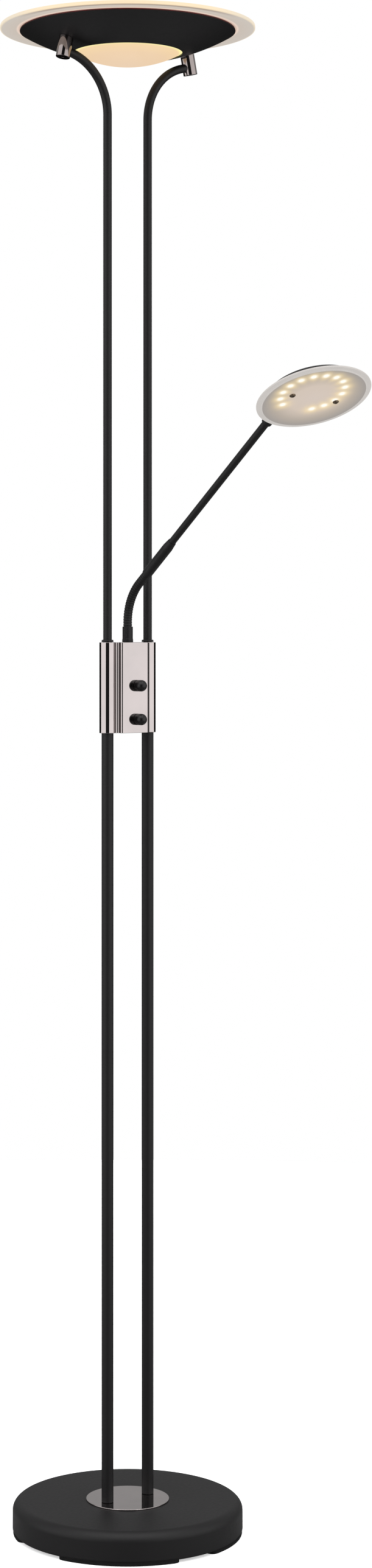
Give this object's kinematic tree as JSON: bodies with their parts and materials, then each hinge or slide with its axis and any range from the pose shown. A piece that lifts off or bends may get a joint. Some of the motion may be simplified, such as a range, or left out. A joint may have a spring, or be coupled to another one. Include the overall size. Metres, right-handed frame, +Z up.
{
  "type": "torchiere floor lamp",
  "caption": "Torchiere floor lamp: slim paired poles on a round weighted base, glass-topped uplight bowl, switch box with rotary knobs and a gooseneck reading lamp.",
  "frame": {"origin": "centre of the round base, on the floor", "axes": "+Z up, -Y to the front where the knobs and the reading arm are, X along the row of the two poles, +X to the right seen from the front"},
  "size_m": [0.305, 0.5562, 1.8],
  "materials": {
    "satin_black": "satin powder coat",
    "black_nickel": "polished black nickel",
    "knob_black": "semi-gloss",
    "steel": "zinc plated",
    "aluminium": "plain",
    "concrete": "cast",
    "black_rubber": "matte",
    "board_green": "solder mask",
    "board_white": "white solder mask",
    "dimmer_blue": "moulded",
    "frosted_glass": "frosted",
    "warm_opal": "opal, lit from inside",
    "dark_screw": "browned"
  },
  "bodies": {
    "stand": {"base_shell": "satin_black", "base_weight": "concrete", "base_plate": "satin_black", "centre_pad": "black_rubber", "foot_back_right": "black_rubber", "foot_back_left": "black_rubber", "foot_front_left": "black_rubber", "foot_front_right": "black_rubber", "base_disc": "black_nickel", "lead_grommet": "black_rubber", "pole_stud_left": "steel", "pole_nut_left": "steel", "pole_stud_right": "steel", "pole_nut_right": "steel", "lower_tube_left": "satin_black", "pole_collar_left": "satin_black", "upper_tube_left": "satin_black", "lower_tube_right": "satin_black", "pole_collar_right": "satin_black", "upper_tube_right": "satin_black", "box_shell": "black_nickel", "box_top_cap": "black_nickel", "box_bottom_cap": "black_nickel", "control_board": "board_green", "dimmer_upper": "dimmer_blue", "dimmer_lower": "dimmer_blue", "neck_socket": "satin_black", "neck_nut": "steel", "glass_seal": "black_rubber", "glass_disc": "frosted_glass", "dome_diffuser": "warm_opal", "dome_ring": "steel", "light_plate": "aluminium", "barrel_left": "black_nickel", "barrel_screw_left": "dark_screw", "barrel_right": "black_nickel", "barrel_screw_right": "dark_screw", "bowl": "satin_black"},
    "upper_knob": {"knob_upper": "knob_black", "knob_shaft_upper": "steel"},
    "lower_knob": {"knob_lower": "knob_black", "knob_shaft_lower": "steel"},
    "neck_foot": {"neck_link_0": "satin_black"},
    "neck_1": {"neck_link_1": "satin_black"},
    "neck_2": {"neck_link_2": "satin_black"},
    "neck_3": {"neck_link_3": "satin_black"},
    "neck_4": {"neck_link_4": "satin_black"},
    "arm": {"neck_link_5": "satin_black", "neck_coupling": "satin_black", "arm_tube": "satin_black", "arm_ferrule": "satin_black"},
    "swivel": {"swivel_fork": "satin_black", "tilt_pin": "steel"},
    "reading_head": {"reading_housing": "satin_black", "reading_led_board": "board_white", "reading_glass": "frosted_glass", "face_screw_left": "dark_screw", "face_screw_right": "dark_screw", "head_bracket": "satin_black"}
  },
  "joints": [
    {"name": "upper_knob_turn", "type": "hinge", "parent": "stand", "child": "upper_knob", "pos_m": [0.0037, -0.0157, 1.0116], "axis": [0, -1, 0], "range_deg": [-135, 135]},
    {"name": "lower_knob_turn", "type": "hinge", "parent": "stand", "child": "lower_knob", "pos_m": [0.0037, -0.0157, 0.9714], "axis": [0, -1, 0], "range_deg": [-135, 135]},
    {"name": "neck_swivel", "type": "hinge", "parent": "stand", "child": "neck_foot", "pos_m": [0, 0, 1.0824], "axis": [0, 0, 1], "range_deg": [-60, 60]},
    {"name": "neck_bend_1", "type": "hinge", "parent": "neck_foot", "child": "neck_1", "pos_m": [0, -0.00007, 1.09011], "axis": [1, 0, 0], "range_deg": [-8, 12]},
    {"name": "neck_bend_2", "type": "hinge", "parent": "neck_1", "child": "neck_2", "pos_m": [0, -0.00287, 1.10523], "axis": [1, 0, 0], "range_deg": [-8, 12]},
    {"name": "neck_bend_3", "type": "hinge", "parent": "neck_2", "child": "neck_3", "pos_m": [0, -0.00955, 1.11909], "axis": [1, 0, 0], "range_deg": [-8, 12]},
    {"name": "neck_bend_4", "type": "hinge", "parent": "neck_3", "child": "neck_4", "pos_m": [0, -0.01964, 1.1307], "axis": [1, 0, 0], "range_deg": [-8, 12]},
    {"name": "neck_bend_5", "type": "hinge", "parent": "neck_4", "child": "arm", "pos_m": [0, -0.03186, 1.14012], "axis": [1, 0, 0], "range_deg": [-8, 12]},
    {"name": "reading_swivel", "type": "hinge", "parent": "arm", "child": "swivel", "pos_m": [0, -0.26812, 1.31796], "axis": [0, -0.799, 0.6014], "range_deg": [-90, 90]},
    {"name": "reading_tilt", "type": "hinge", "parent": "swivel", "child": "reading_head", "pos_m": [0, -0.30167, 1.34322], "axis": [-0.9958, 0.0552, 0.0734], "range_deg": [-10, 60]}
  ]
}
